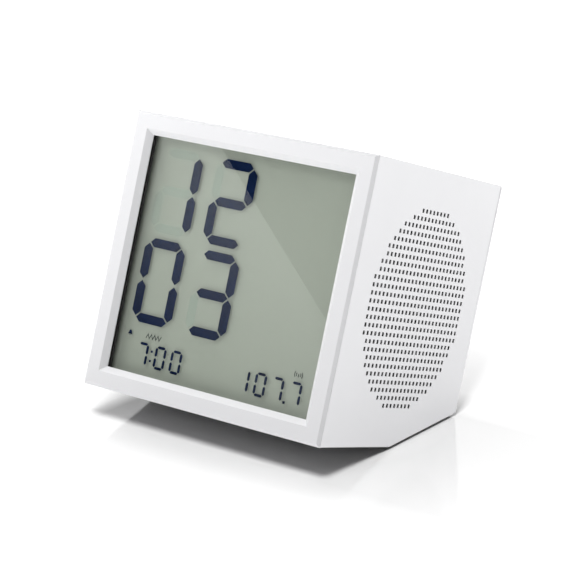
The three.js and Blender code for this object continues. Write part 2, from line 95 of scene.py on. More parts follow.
TO_ROW = lean_frame()
TO_CASE = TO_ROW.inverted()


def case_box(node):
    """Lowest and highest corner of a CAD node in case space."""
    points = [TO_CASE @ v.co for v in frame["nodes"][node].data.vertices]
    low = Vector(min(p[i] for p in points) for i in range(3))
    high = Vector(max(p[i] for p in points) for i in range(3))
    return low, high


# ---------------- node graphs


class Graph:
    """A material's nodes, made and joined by short calls."""

    def __init__(self, name):
        self.material = bpy.data.materials.new(name)
        self.material.use_nodes = True
        self.tree = self.material.node_tree
        self.shader = self.tree.nodes["Principled BSDF"]
        self.output = self.tree.nodes["Material Output"]
        self.place = self.node("ShaderNodeTexCoord").outputs["Object"]

    def node(self, kind, inputs=None, **settings):
        made = self.tree.nodes.new(kind)
        for name, value in settings.items():
            setattr(made, name, value)
        for socket, value in (inputs or {}).items():
            self.give(made.inputs[socket], value)
        return made

    def give(self, socket, value):
        if isinstance(value, bpy.types.NodeSocket):
            self.tree.links.new(value, socket)
        else:
            socket.default_value = value

    def set(self, **values):
        """Give the Principled shader's sockets, named with _ for a space."""
        for name, value in values.items():
            self.give(self.shader.inputs[name.replace("_", " ")], value)
        return self.material

    def noise(self, size, detail=2.0, stretch=None):
        """Soft noise with features about size metres across."""
        vector = self.place
        if stretch:
            vector = self.node("ShaderNodeMapping", {"Vector": vector, "Scale": stretch}).outputs[0]
        inputs = {"Vector": vector, "Scale": 1 / size, "Detail": detail}
        return self.node("ShaderNodeTexNoise", inputs).outputs["Fac"]

    def ramp(self, value, start, end, low=0.0, high=1.0):
        inputs = {"Value": value, 1: start, 2: end, 3: low, 4: high}
        return self.node("ShaderNodeMapRange", inputs, clamp=True).outputs[0]

    def maths(self, first, second, operation="ADD"):
        inputs = {0: first, 1: second}
        return self.node("ShaderNodeMath", inputs, operation=operation).outputs[0]

    def dot(self, first, second):
        inputs = {0: first, 1: second}
        return self.node("ShaderNodeVectorMath", inputs, operation="DOT_PRODUCT").outputs["Value"]

    def pattern(self, kind, size, output, inputs=None, **settings):
        """A Voronoi or Wave texture whose features are about size metres across."""
        inputs = {"Vector": self.place, "Scale": 1 / size, **(inputs or {})}
        return self.node("ShaderNodeTex" + kind, inputs, **settings).outputs[output]

    def blend(self, share, first, second):
        """A colour between two colours."""
        made = self.node("ShaderNodeMix", data_type="RGBA")
        self.give(made.inputs[0], share)
        for socket, colour in ((6, first), (7, second)):
            self.give(made.inputs[socket], (*colour, 1) if isinstance(colour, tuple) else colour)
        return made.outputs[2]

    def bump(self, height, distance, strength=1.0):
        inputs = {"Height": height, "Distance": distance, "Strength": strength}
        return self.node("ShaderNodeBump", inputs).outputs[0]

    def edges(self, radius):
        """1 along sharp edges, fading to 0 a radius away from them."""
        rounded = self.node("ShaderNodeBevel", {"Radius": radius}, samples=4).outputs[0]
        flat = self.node("ShaderNodeNewGeometry").outputs["Normal"]
        return self.ramp(self.dot(rounded, flat), 0.999, 0.9)


def shade(colour, factor):
    return tuple(min(1.0, c * factor) for c in colour)


# ---------------- materials


def moulded(name, colour, roughness, grain=0.00035, relief=0.000004, mottle=0.012, wear=0.25):
    """Moulded plastic: fine tool grain, faint mottling, and edges rubbed a little smoother."""
    g = Graph(name)
    flow = g.ramp(g.noise(0.03, 3), 0.3, 0.7)
    speck = g.noise(grain, 3)
    edge = g.edges(0.0004)
    base = g.blend(flow, shade(colour, 1 - mottle), shade(colour, 1 + mottle))
    rubbed = g.maths(edge, wear, "MULTIPLY")
    worn = g.blend(rubbed, base, shade(tuple(c + 0.02 for c in colour), 1.05))
    rough = g.ramp(speck, 0.25, 0.75, roughness - 0.05, roughness + 0.06)
    return g.set(
        Base_Color=worn,
        Roughness=g.maths(rough, g.maths(edge, 0.1, "MULTIPLY"), "SUBTRACT"),
        Normal=g.bump(speck, relief),
    )


def rubbery(name, colour, roughness=0.8, grain=0.0006, relief=0.00003):
    """Rubber and silicone: matt, with patches of dust."""
    g = Graph(name)
    dust = g.ramp(g.noise(0.006, 4), 0.35, 0.75)
    speck = g.noise(grain, 4)
    return g.set(
        Base_Color=g.blend(dust, colour, tuple(c * 1.5 + 0.006 for c in colour)),
        Roughness=g.ramp(dust, 0, 1, roughness - 0.08, roughness + 0.1),
        Normal=g.bump(speck, relief),
    )


def foamed(name, colour):
    """Closed-cell foam: a skin of small round cells."""
    g = Graph(name)
    cells = g.pattern("Voronoi", 0.0005, "Distance")
    return g.set(
        Base_Color=g.blend(cells, colour, shade(colour, 2.2)),
        Roughness=0.95,
        Normal=g.bump(cells, 0.0001),
    )


def plated(name, colour, roughness=0.3, along=(1, 1, 12)):
    """Plated sheet or wire: drawn lines, stains and small scratches."""
    g = Graph(name)
    lines = g.noise(0.0012, 4, stretch=along)
    stain = g.ramp(g.noise(0.012, 4), 0.4, 0.7)
    edge = g.edges(0.0003)
    base = g.blend(stain, colour, shade(colour, 0.82))
    rough = g.ramp(lines, 0.3, 0.7, roughness - 0.08, roughness + 0.1)
    return g.set(
        Base_Color=g.blend(edge, base, shade(colour, 1.15)),
        Metallic=1.0,
        Roughness=g.maths(rough, g.maths(stain, 0.08, "MULTIPLY")),
        Normal=g.bump(lines, 0.000006),
    )


def board():
    """Circuit board: green solder mask over copper tracks, with a fine glass weave."""
    g = Graph("solder_mask")
    uneven = {"Randomness": 0.9}
    tracks = g.pattern("Voronoi", 0.0035, "Distance", uneven, feature="DISTANCE_TO_EDGE")
    copper = g.ramp(tracks, 0.05, 0.08, 1.0, 0.0)
    weave = g.pattern("Wave", 0.0014, "Fac", bands_direction="DIAGONAL")
    mask = g.blend(copper, (0.012, 0.085, 0.035), (0.035, 0.2, 0.08))
    return g.set(
        Base_Color=g.blend(g.ramp(weave, 0, 1, 0, 0.15), mask, (0.05, 0.16, 0.07)),
        Roughness=g.ramp(g.noise(0.004), 0.3, 0.7, 0.28, 0.42),
        Normal=g.bump(g.maths(copper, g.maths(weave, 0.1, "MULTIPLY")), 0.00004),
    )


def epoxy():
    """Chip package: dull black epoxy with a sandy moulded face."""
    g = Graph("chip_epoxy")
    sand = g.noise(0.00025, 4)
    return g.set(
        Base_Color=g.blend(g.noise(0.004), (0.012, 0.012, 0.013), (0.022, 0.022, 0.024)),
        Roughness=g.ramp(sand, 0.3, 0.7, 0.45, 0.62),
        Normal=g.bump(sand, 0.00001),
    )


def ferrite():
    """Sintered magnet: dark, faintly speckled, ground smooth in patches."""
    g = Graph("ferrite")
    speck = g.noise(0.0005, 5)
    ground = g.ramp(g.noise(0.01, 3), 0.4, 0.6)
    return g.set(
        Base_Color=g.blend(speck, (0.03, 0.03, 0.034), (0.085, 0.085, 0.09)),
        Roughness=g.ramp(ground, 0, 1, 0.5, 0.75),
        Normal=g.bump(speck, 0.00002),
    )


def pressed_paper():
    """Speaker cone: black paper pulp with short fibres."""
    g = Graph("cone_paper")
    fibres = g.noise(0.0009, 6, stretch=(1, 4, 1))
    return g.set(
        Base_Color=g.blend(fibres, (0.018, 0.018, 0.019), (0.05, 0.048, 0.046)),
        Roughness=0.92,
        Normal=g.bump(fibres, 0.00006),
    )


def insulation(name, colour):
    """Wire insulation: smooth extruded plastic, slightly dirty."""
    g = Graph(name)
    dirt = g.ramp(g.noise(0.003, 3), 0.45, 0.75)
    return g.set(
        Base_Color=g.blend(dirt, colour, shade(colour, 0.7)),
        Roughness=g.ramp(dirt, 0, 1, 0.32, 0.5),
        Normal=g.bump(g.noise(0.0008), 0.00001),
    )


def pane(name, tint, mirror, gloss=0.015, smear=0.012):
    """A flat clear sheet: straight through it, with a mirror on its outer face only."""
    g = Graph(name)
    clear = g.node("ShaderNodeBsdfTransparent", {"Color": (*tint, 1)})
    rough = g.ramp(g.noise(0.02, 3), 0.3, 0.8, gloss, gloss + smear)
    shine = g.node("ShaderNodeBsdfGlossy", {"Color": (1, 1, 1, 1), "Roughness": rough})
    fresnel = g.node("ShaderNodeFresnel", {"IOR": 1.49}).outputs[0]
    inside = g.node("ShaderNodeNewGeometry").outputs["Backfacing"]
    outside = g.maths(1.0, inside, "SUBTRACT")
    share = g.maths(g.maths(fresnel, outside, "MULTIPLY"), mirror, "MULTIPLY")
    mix = g.node("ShaderNodeMixShader", {0: share, 1: clear.outputs[0], 2: shine.outputs[0]})
    g.tree.nodes.remove(g.shader)
    g.tree.links.new(mix.outputs[0], g.output.inputs["Surface"])
    return g.material


# The film behind the display, and the width of the painted shade along its border.
FILM = {"half": 44.1, "gap": 0.05, "thickness": 0.2, "painted_shade_width": 2.2}


def reflector_film():
    """Grey-green film behind the liquid crystal: pearly grain, a painted glow over its face, and painted shade of
    the bezel along its top and sides.
    """
    g = Graph("reflector_film")
    grain = g.noise(0.00022, 2)
    cloud = g.noise(0.03, 2)
    base = g.blend(cloud, (0.235, 0.25, 0.228), (0.247, 0.26, 0.239))
    pearl = g.blend(g.ramp(grain, 0.3, 0.7, 0, 0.2), base, (0.22, 0.24, 0.217))
    across = g.node("ShaderNodeSeparateXYZ", {0: g.place}).outputs[0]
    upwards = TO_ROW.to_3x3().normalized() @ Vector((0, 0, 1))
    height = g.dot(g.place, upwards)
    top = (TO_ROW @ Vector((0, 0, HALF))).dot(upwards) + FILM["half"] * MM
    # Painted shade of the bezel: the film fades to black towards its sides and its top.
    painted_shade_width = FILM["painted_shade_width"] * MM
    side = g.ramp(g.maths(across, 0.0, "ABSOLUTE"), FILM["half"] * MM - painted_shade_width, FILM["half"] * MM, 1, 0)
    painted_glow_and_shade = g.maths(side, g.ramp(height, top - painted_shade_width, top, 1, 0), "MINIMUM")
    # The film also glows with a painted light of its own, full away from its shaded border, which softens the
    # shade in the window.
    return g.set(
        Emission_Color=(0.13, 0.137, 0.126, 1),
        Emission_Strength=painted_glow_and_shade,
        Base_Color=g.blend(painted_glow_and_shade, (0.004, 0.004, 0.004), pearl),
        Roughness=g.ramp(grain, 0.3, 0.7, 0.5, 0.65),
        Normal=g.bump(grain, 0.000003),
    )


def ink(name, colour, variation=0.15, cover=1.0):
    """Liquid crystal segment or printing: flat, with a slightly uneven density."""
    g = Graph(name)
    density = g.noise(0.004, 3)
    return g.set(
        Base_Color=g.blend(density, shade(colour, 1 - variation), shade(colour, 1 + variation)),
        Roughness=g.ramp(density, 0.3, 0.7, 0.5, 0.65),
        Specular_IOR_Level=0.0,
        Alpha=cover,
    )


def light_guide():
    """Clear light guide over a white sheet, with a grid of printed dots."""
    g = Graph("light_guide")
    dots = g.pattern("Voronoi", 0.0018, "Distance", {"Randomness": 0.0})
    return g.set(
        Base_Color=g.blend(g.ramp(dots, 0.2, 0.3), (0.9, 0.91, 0.88), (0.78, 0.8, 0.76)),
        Roughness=g.ramp(dots, 0.2, 0.3, 0.4, 0.12),
        Normal=g.bump(dots, 0.00001),
    )


def ribbon_cable():
    """Flat ribbon: grey insulation ribbed along its conductors."""
    g = Graph("ribbon_cable")
    ribs = g.pattern("Wave", 0.0022, "Fac", bands_direction="X")
    return g.set(
        Base_Color=g.blend(ribs, (0.3, 0.31, 0.33), (0.55, 0.56, 0.58)),
        Roughness=g.ramp(ribs, 0, 1, 0.55, 0.42),
        Normal=g.bump(ribs, 0.00015),
    )


def cell_jacket():
    """Printed metal jacket of a dry cell or capacitor: satin blue, with fine scuffs."""
    g = Graph("cell_jacket")
    scuff = g.noise(0.0015, 5, stretch=(8, 1, 1))
    return g.set(
        Base_Color=g.blend(g.noise(0.02), (0.05, 0.12, 0.26), (0.08, 0.17, 0.34)),
        Metallic=0.4,
        Roughness=g.ramp(scuff, 0.35, 0.7, 0.26, 0.45),
        Normal=g.bump(scuff, 0.000008),
    )


WHITE = (0.74, 0.74, 0.755)
KEY_WHITE = (0.70, 0.70, 0.72)
GLASS_TINT = (0.985, 0.99, 0.98)

materials = {
    "case_white": moulded("case_white_plastic", WHITE, 0.42),
    "key_white": moulded("key_white_plastic", KEY_WHITE, 0.36, relief=0.000003),
    "black_plastic": moulded("black_plastic", (0.02, 0.02, 0.022), 0.5, mottle=0.1),
    "black_rubber": rubbery("black_rubber", (0.022, 0.022, 0.023)),
    "black_foam": foamed("black_foam", (0.008, 0.008, 0.008)),
    "clear_sheet": pane("clear_sheet", (0.985, 0.99, 0.985), 0.04),
    "display_glass": pane("display_glass", GLASS_TINT, 1.0, gloss=0.002, smear=0.003),
    "reflector": reflector_film(),
    "light_guide": light_guide(),
    "circuit_board": board(),
    "chip_black": epoxy(),
    "tin_plate": plated("tin_plate", (0.62, 0.63, 0.64)),
    "spring_steel": plated("spring_steel", (0.66, 0.66, 0.68), 0.22, along=(10, 1, 1)),
    "ferrite": ferrite(),
    "cone_paper": pressed_paper(),
    "cell_jacket": cell_jacket(),
    "red_wire": insulation("red_wire", (0.42, 0.02, 0.015)),
    "black_wire": insulation("black_wire", (0.014, 0.014, 0.015)),
    "ribbon_grey": ribbon_cable(),
}
segment_ink = ink("segment_ink", (0.007, 0.016, 0.055))
ghost_ink = ink("ghost_ink", (0.13, 0.40, 0.34), 0.02, cover=0.05)
legend_ink = ink("legend_ink", (0.05, 0.055, 0.06))


# ---------------- mesh helpers


def mesh_from(bm, name):
    mesh = bpy.data.meshes.new(name)
    bm.to_mesh(mesh)
    bm.free()
    return mesh


def added(name, data):
    """A new object in the scene."""
    made = bpy.data.objects.new(name, data)
    bpy.context.scene.collection.objects.link(made)
    return made


def new_object(name, mesh, material):
    made = added(name, mesh)
    mesh.materials.clear()
    mesh.materials.append(material)
    return made


def smooth(obj, angle=30):
    """Smooth shading that keeps edges sharper than the angle crisp and flat faces flat."""
    for face in obj.data.polygons:
        face.use_smooth = True
    obj.data.set_sharp_from_angle(angle=math.radians(angle))
    modifier = obj.modifiers.new("weighted", "WEIGHTED_NORMAL")
    modifier.keep_sharp = True


def piece(name, bm, slot, body="case", replaces=(), material=None, soften=0.0, segments=2):
    """Turn a mesh drawn in case space into a piece of the radio."""
    bm.transform(TO_ROW)
    bmesh.ops.recalc_face_normals(bm, faces=bm.faces)
    made = new_object(name, mesh_from(bm, name), material or materials[slot])
    if soften:
        bevel = made.modifiers.new("soften", "BEVEL")
        bevel.width = soften * MM
        bevel.segments = segments
        bevel.limit_method = "ANGLE"
        bevel.angle_limit = SHARP
    smooth(made)
    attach(made, body)
    if replaces:
        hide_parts(*replaces)
    return made


def add_polygon(bm, outline, depths, axis="y"):
    """A flat polygon given by two coordinates, thickened along the third axis."""
    def corner(a, b, d):
        return {"x": (d, a, b), "y": (a, d, b), "z": (a, b, d)}[axis]

    near = [bm.verts.new(corner(a, b, depths[0])) for a, b in outline]
    far = [bm.verts.new(corner(a, b, depths[1])) for a, b in outline]
    bm.faces.new(near)
    bm.faces.new(far[::-1])
    for i in range(len(outline)):
        j = (i + 1) % len(outline)
        bm.faces.new((near[i], near[j], far[j], far[i]))


def add_box(bm, low, high):
    outline = [(low[0], low[1]), (high[0], low[1]), (high[0], high[1]), (low[0], high[1])]
    add_polygon(bm, outline, (low[2], high[2]), axis="z")


def add_turned(bm, profile, centre, axis="y", sides=48, radius_at=None):
    """A solid of revolution: profile holds (radius, position) pairs from axis to axis."""
    rings = []
    for radius, along in profile:
        if radius < 1e-6:
            rings.append([bm.verts.new(turned_point(centre, axis, 0, 0, along))])
            continue
        ring = []
        for i in range(sides):
            angle = 2 * math.pi * i / sides
            reach = radius_at(radius, angle) if radius_at else radius
            ring.append(bm.verts.new(turned_point(centre, axis, reach, angle, along)))
        rings.append(ring)
    for first, second in zip(rings, rings[1:]):
        for i in range(sides):
            j = (i + 1) % sides
            corners = [first[i % len(first)], first[j % len(first)]]
            corners += [second[j % len(second)], second[i % len(second)]]
            unique = list(dict.fromkeys(corners))
            if len(unique) > 2:
                bm.faces.new(unique)


def turned_point(centre, axis, radius, angle, along):
    a, b = radius * math.cos(angle), radius * math.sin(angle)
    offset = {"x": (along, a, b), "y": (a, along, b), "z": (a, b, along)}[axis]
    return Vector(centre) + Vector(offset)


def rounded(points, radii, steps=4):
    """A closed outline with each corner rounded by its own radius."""
    outline = []
    count = len(points)
    for i, radius in enumerate(radii):
        here = Vector(points[i])
        before = (Vector(points[i - 1]) - here).normalized()
        after = (Vector(points[(i + 1) % count]) - here).normalized()
        if radius <= 0:
            outline.append(tuple(here))
            continue
        half = before.angle(after) / 2
        reach = radius / math.tan(half)
        centre = here + (before + after).normalized() * (radius / math.sin(half))
        start = here + before * reach - centre
        end = here + after * reach - centre
        for k in range(steps + 1):
            outline.append(tuple(centre + start.slerp(end, k / steps).normalized() * radius))
    return outline


def copy_of(node):
    """A CAD node's mesh in case space, with its split corners welded."""
    bm = bmesh.new()
    bm.from_mesh(frame["nodes"][node].data)
    bm.transform(TO_CASE)
    bmesh.ops.remove_doubles(bm, verts=bm.verts, dist=0.001)
    return bm


def combine(bm, tool, operation):
    """The boolean of two case-space meshes, as a new bmesh."""
    base_object = added("base", mesh_from(bm, "base"))
    tool_object = added("tool", mesh_from(tool, "tool"))
    modifier = base_object.modifiers.new("combine", "BOOLEAN")
    modifier.operation = operation
    modifier.solver = "EXACT"
    modifier.object = tool_object
    bpy.context.view_layer.update()
    graph = bpy.context.evaluated_depsgraph_get()
    made = bmesh.new()
    made.from_object(base_object, graph)
    for obj in (base_object, tool_object):
        mesh = obj.data
        bpy.data.objects.remove(obj)
        bpy.data.meshes.remove(mesh)
    return made


# ---------------- case

FACET = {"start": 52.0, "rise": 13.0}
CAD_WALLS = {"front": 1.4, "rear": 97.5, "side": 47.4}      # where the CAD walls' ends lie
BEZEL = {"border": 5.9, "splay": 2.0, "land": 0.4, "chamfer": 1.05, "skirt": 9.0,
         "skirt_half": 47.5, "wall": 1.8, "edge": 0.26}


def envelope():
    """The case's outer form with soft edges, open-ended past the front."""
    slack = 0.004
    front = -5.0
    outline = [
        (front, -slack), (FACET["start"], -slack), (CASE + slack, FACET["rise"] - slack),
        (CASE + slack, CASE + slack), (front, CASE + slack),
    ]
    bm = bmesh.new()
    add_polygon(bm, outline, (-HALF - slack, HALF + slack), axis="x")
    bmesh.ops.recalc_face_normals(bm, faces=bm.faces)
    soft = []
    for edge in bm.edges:
        a, b = (v.co for v in edge.verts)
        across_fold = abs(a.y - FACET["start"]) < 1 and abs(b.y - FACET["start"]) < 1
        at_front = a.y < front + 1 and b.y < front + 1
        if not across_fold and not at_front:
            soft.append(edge)
    bmesh.ops.bevel(
        bm, geom=soft, offset=EDGE_RADIUS, offset_type="OFFSET", segments=6, profile=0.5,
        affect="EDGES", clamp_overlap=True,
    )
    return bm


def close_seams(bm, right=False):
    """Bring a wall's ends up to a hairline from the bezel and the rear cover."""
    bezel_end = BEZEL["chamfer"] + SEAM
    cover_start = case_box("rear_cover")[1].y - COVER_THICKNESS - SEAM
    for v in bm.verts:
        if v.co.y < CAD_WALLS["front"]:
            v.co.y = bezel_end
        if abs(v.co.y - CAD_WALLS["rear"]) < 0.02:
            v.co.y = cover_start
        if right and v.co.x > CAD_WALLS["side"]:
            v.co.x = SIDE_FACE - SEAM


GRILLE = {"radius": 38.0, "skin": 0.26, "gap": 0.24}


def thin_grille(bm):
    """Recess the inner face behind the holes, so that only a thin skin carries them."""
    for v in bm.verts:
        reach = math.hypot(v.co.y - HALF, v.co.z - HALF)
        if reach < GRILLE["radius"] and abs(v.co.x - SIDE_FACE) < 0.01:
            v.co.x = HALF - GRILLE["skin"]


def make_hole_shade_felt():
    """Black felt disc in the grille's recess, showing through its holes: a dark sheet put there as painted shade
    inside the holes.
    """
    start, end = SIDE_FACE + 0.05, HALF - GRILLE["skin"] - GRILLE["gap"]
    radius = GRILLE["radius"] - 0.2
    bm = bmesh.new()
    profile = [(0, start), (radius - 0.2, start), (radius, start + 0.2), (radius, end), (0, end)]
    add_turned(bm, profile, (0, HALF, HALF), axis="x", sides=96)
    # The dark disc behind the holes stands in for the shade inside them: painted shade.
    piece("grille_felt", bm, "black_foam")


def moulding(name, node, bm):
    """A wall of the case trimmed to the soft-edged form, in place of its CAD node."""
    piece(name, combine(bm, envelope(), "INTERSECT"), "case_white", replaces=[node])


def make_walls():
    shell = copy_of("case_shell")
    close_seams(shell, right=True)
    moulding("shell_moulding", "case_shell", shell)
    side = copy_of("grille_panel")
    close_seams(side)
    thin_grille(side)
    make_hole_shade_felt()
    moulding("grille_moulding", "grille_panel", side)
    moulding("rear_moulding", "rear_cover", copy_of("rear_cover"))


def make_bezel():
    """Mitred square frame, its corners slightly eased."""
    flat = HALF - BEZEL["border"]
    window = flat - BEZEL["splay"]
    skirt = BEZEL["skirt_half"]
    rebate = skirt - BEZEL["wall"]
    lip = BEZEL["splay"] + BEZEL["land"]
    chamfer = BEZEL["chamfer"]
    corners = [
        (flat, 0, 0.1), (HALF - chamfer, 0, 0.12), (HALF, chamfer, 0.1),
        (HALF, chamfer + BEZEL["edge"], 0), (skirt, chamfer + BEZEL["edge"], 0.05),
        (skirt, BEZEL["skirt"], 0.2),
        (rebate, BEZEL["skirt"], 0.2), (rebate, lip, 0.1), (window, lip, 0.05),
        (window, BEZEL["splay"], 0.05),
    ]
    profile = rounded([c[:2] for c in corners], [c[2] for c in corners], steps=3)
    bm = bmesh.new()
    signs = [(-1, -1), (1, -1), (1, 1), (-1, 1)]
    rings = []
    for half, depth in profile:
        rings.append([bm.verts.new((sx * half, depth, HALF + sz * half)) for sx, sz in signs])
    count = len(rings)
    for k in range(count):
        first, second = rings[k], rings[(k + 1) % count]
        for i in range(4):
            j = (i + 1) % 4
            bm.faces.new((first[i], first[j], second[j], second[i]))
    piece("bezel_frame", bm, "case_white", replaces=["front_bezel"])


# ---------------- liquid crystal display

CLOCK_DIGIT = {"width": 13.9, "half": 13.6, "upright": 3.6, "level": 3.25, "tip": 0.4}
SMALL_DIGIT = {"width": 3.75, "half": 3.72, "upright": 0.98, "level": 0.98, "tip": 0.2}
LIT = {"0": "abcdef", "1": "bc", "2": "abged", "3": "abcdg", "7": "abc"}
GHOSTS = {"1": "adeg", "2": "f", "3": "e"}      # unlit segments that show faintly


def segment_outline(start, end, stroke, tip):
    """A bar with pointed ends between two corners of a digit."""
    start, end = Vector(start), Vector(end)
    along = (end - start).normalized()
    side = Vector((-along.y, along.x)) * (stroke / 2)
    near = start + along * tip
    far = end - along * tip
    near_shoulder = near + along * (stroke / 2)
    far_shoulder = far - along * (stroke / 2)
    return [near, near_shoulder + side, far_shoulder + side, far,
            far_shoulder - side, near_shoulder - side]


def digit_segments(style, centre):
    """The seven bars of a digit by letter."""
    cx, cz = centre
    left, right = cx - style["width"] / 2, cx + style["width"] / 2
    low, high = cz - style["half"], cz + style["half"]
    level, upright = style["level"], style["upright"]
    ends = {
        "a": ((left, high), (right, high), level),
        "b": ((right, high), (right, cz), upright),
        "c": ((right, cz), (right, low), upright),
        "d": ((left, low), (right, low), level),
        "e": ((left, cz), (left, low), upright),
        "f": ((left, high), (left, cz), upright),
        "g": ((left, cz), (right, cz), level),
    }
    return {k: segment_outline(a, b, stroke, style["tip"]) for k, (a, b, stroke) in ends.items()}


def square(centre, side):
    cx, cz = centre
    h = side / 2
    return [(cx - h, cz - h), (cx + h, cz - h), (cx + h, cz + h), (cx - h, cz + h)]


def line_outline(points, width):
    """A bent line of constant width as a closed outline."""
    points = [Vector(p) for p in points]
    sides = ([], [])
    for i, here in enumerate(points):
        back = (here - points[i - 1]).normalized() if i else None
        on = (points[i + 1] - here).normalized() if i + 1 < len(points) else None
        back, on = back or on, on or back
        mean = (back + on).normalized()
        normal = Vector((-mean.y, mean.x)) * (width / 2 / max(0.5, mean.dot(on)))
        sides[0].append(here + normal)
        sides[1].append(here - normal)
    return sides[0] + sides[1][::-1]


def bell_outline(centre, size):
    """A small bell: a dome that flares out at its foot."""
    cx, cz = centre
    dome = [(0.5 * math.cos(a), 0.15 + 0.5 * math.sin(a)) for a in np.linspace(0, math.pi, 9)]
    shape = [(0.95, -0.7), (0.62, -0.35), *dome, (-0.62, -0.35), (-0.95, -0.7)]
    return [(cx + size * a, cz + size * b) for a, b in shape]


def arc(centre, radius, start, end, steps=8):
    cx, cz = centre
    angles = [math.radians(start + (end - start) * i / steps) for i in range(steps + 1)]
    return [(cx + radius * math.cos(a), cz + radius * math.sin(a)) for a in angles]


# Places on the display, from the middle of the window.
CLOCK_COLUMNS = (-30.4, -7.25)
CLOCK_ROWS = {"hours": 23.7, "minutes": -8.95}
SMALL_ROW = -35.12
ALARM_COLUMNS = (-31.2, -23.5, -16.6)
STATION_COLUMNS = (12.25, 19.2, 26.25, 33.55)
LEGEND_ROW = -28.4


def display_marks():
    """Outlines of the dark, ghost and legend marks, round the middle of the window."""
    dark, ghost, legend = [], [], []

    def write(text, style, columns, row):
        for character, column in zip(text, columns):
            bars = digit_segments(style, (column, row))
            dark.extend(bars[letter] for letter in LIT[character])
            if style is CLOCK_DIGIT:
                ghost.extend(bars[letter] for letter in GHOSTS.get(character, ""))

    write("12", CLOCK_DIGIT, CLOCK_COLUMNS, CLOCK_ROWS["hours"])
    write("03", CLOCK_DIGIT, CLOCK_COLUMNS, CLOCK_ROWS["minutes"])
    write("700", SMALL_DIGIT, ALARM_COLUMNS, SMALL_ROW)
    write("1077", SMALL_DIGIT, STATION_COLUMNS, SMALL_ROW)
    for height in (-33.45, -36.85):
        dark.append(square((-27.35, height), 0.8))
    dark.append(square((29.8, -38.9), 0.95))
    dark.append(bell_outline((-38.0, -28.35), 1.15))
    dark.append([(-38.2, -29.55), (-37.8, -29.55), (-37.8, -29.3), (-38.2, -29.3)])
    # A buzzer's zigzag, and a mast with its waves, in place of written words.
    teeth = [(-31.0 + 0.72 * i, LEGEND_ROW + (0.8 if i % 2 else -0.8)) for i in range(10)]
    legend.append(line_outline(teeth, 0.3))
    mast = (33.45, LEGEND_ROW)
    legend.append(line_outline([(mast[0], mast[1] - 0.9), (mast[0], mast[1] + 0.25)], 0.3))
    for radius in (0.9, 1.6):
        legend.append(line_outline(arc(mast, radius, -40, 40), 0.26))
        legend.append(line_outline(arc(mast, radius, 140, 220), 0.26))
    return dark, ghost, legend


def make_marks():
    front = case_box("lcd_front_glass")[1].y
    rear = case_box("lcd_rear_glass")[0].y
    dark, ghost, legend = display_marks()
    layers = [
        ("display_segments", dark, segment_ink, 0.35, 0.6),
        ("display_ghosts", ghost, ghost_ink, 0.62, 0.8),
        ("display_legends", legend, legend_ink, 0.35, 0.6),
    ]
    for name, outlines, material, start, end in layers:
        depths = (front + (rear - front) * start, front + (rear - front) * end)
        bm = bmesh.new()
        for outline in outlines:
            add_polygon(bm, [(x, HALF + z) for x, z in outline], depths)
        marks = piece(name, bm, "display_glass", material=material)
        marks.visible_shadow = material is not ghost_ink


def ground_box(low, high, edge):
    """A box with its edges ground, as a new mesh."""
    bm = bmesh.new()
    add_box(bm, low, high)
    bmesh.ops.recalc_face_normals(bm, faces=bm.faces)
    bmesh.ops.bevel(bm, geom=bm.edges[:], offset=edge, segments=2, profile=0.5, affect="EDGES")
    return bm


def slab(name, node, slot, edge, material=None):
    """A flat CAD sheet with its edges ground, in place of the plain one."""
    piece(name, ground_box(*case_box(node), edge), slot, replaces=[node], material=material)


def make_reflector():
    """Film laminated to the back of the rear glass, a little larger than the window."""
    back = case_box("lcd_rear_glass")[1].y
    half = FILM["half"]
    front, rear = back + FILM["gap"], back + FILM["gap"] + FILM["thickness"]
    bm = ground_box((-half, front, HALF - half), (half, rear, HALF + half), 0.05)
    piece("reflector_sheet", bm, "reflector", replaces=["lcd_reflector"])


def make_display():
    slab("window_sheet", "display_lens", "clear_sheet", 0.15)
    slab("front_glass_plate", "lcd_front_glass", "display_glass", 0.12)
    rear_glass = pane("rear_glass", GLASS_TINT, 0.04)
    slab("rear_glass_plate", "lcd_rear_glass", "display_glass", 0.12, material=rear_glass)
    make_reflector()
    make_marks()


# ---------------- controls


def make_snooze():
    """Long top bar: crowned, soft-edged, with a row of three raised dots."""
    low, high = case_box("snooze_bar")
    bm = copy_of("snooze_bar")
    top = high.z
    middle_y = (low.y + high.y) / 2
    piece("snooze_bar_cap", bm, "key_white", "snooze", ["snooze_bar"], soften=0.35, segments=4)
    dots = bmesh.new()
    for shift in (-4, 0, 4):
        centre = (shift, middle_y, top)
        profile = [(0, 0.1), (0.5, 0.08), (0.85, 0), (0.9, -0.3), (0, -0.3)]
        add_turned(dots, profile, centre, axis="z", sides=24)
    piece("snooze_dots", dots, "key_white", "snooze")


BUTTONS = {
    "time_button": "time_key",
    "alarm_button": "alarm_key",
    "preset_button": "preset_key",
    "tune_down_button": "tune_down_key",
    "tune_up_button": "tune_up_key",
}


BUTTON = {"cap": 4.5, "roll": 0.6, "dish": 0.35, "dish_radius": 3.6, "stem": 2.0, "flange": 6.0,
          "flange_start": 95.9, "flange_end": 97.2, "ease": 0.2}


